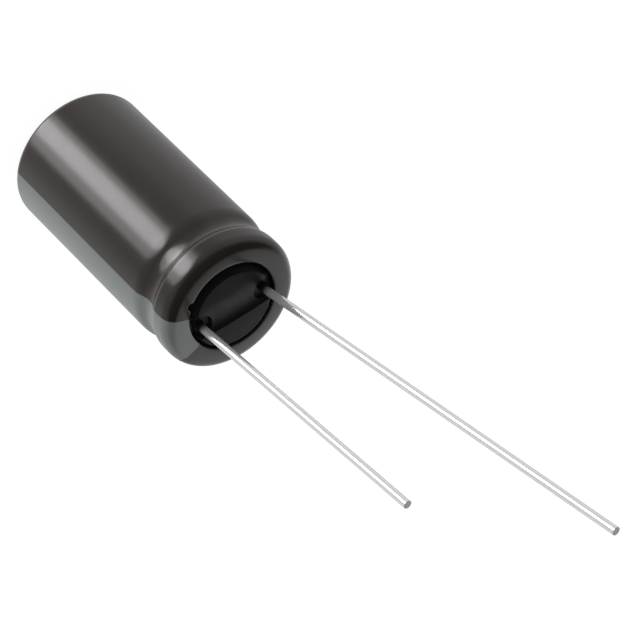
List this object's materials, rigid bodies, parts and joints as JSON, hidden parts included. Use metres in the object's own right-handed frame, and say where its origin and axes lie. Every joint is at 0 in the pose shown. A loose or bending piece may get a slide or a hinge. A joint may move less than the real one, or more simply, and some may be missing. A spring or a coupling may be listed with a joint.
{
  "type": "radial electrolytic capacitor",
  "caption": "Small radial aluminium capacitor: sleeved can with a bead groove and rolled rim, rubber seal, wound foil element and two bare wire leads of unequal length.",
  "frame": {"origin": "centre of the closed end, on the surface that the sleeve's ring stands on", "axes": "+Z along the can from its closed end to the leads, +X from the cathode lead to the anode lead"},
  "size_m": [0.012, 0.0104, 0.0538],
  "materials": {
    "shrink_film": "dark brown heat-shrunk film with a pale grey-green stripe on the cathode's side",
    "can_aluminium": "drawn aluminium",
    "seal_rubber": "moulded black rubber",
    "tinned_wire": "bright tinned wire",
    "tab_aluminium": "pressed aluminium",
    "etched_foil": "etched matt foil",
    "plain_foil": "plain foil",
    "separator_paper": "soaked kraft paper",
    "tape_film": "translucent amber tape"
  },
  "bodies": {
    "root": {"sleeve": "shrink_film", "can": "can_aluminium", "rubber_seal": "seal_rubber", "anode_lead": "tinned_wire", "cathode_lead": "tinned_wire", "anode_tab": "tab_aluminium", "cathode_tab": "tab_aluminium", "anode_foil": "etched_foil", "cathode_foil": "plain_foil", "inner_separator": "separator_paper", "outer_separator": "separator_paper", "closing_tape": "tape_film"}
  },
  "joints": []
}
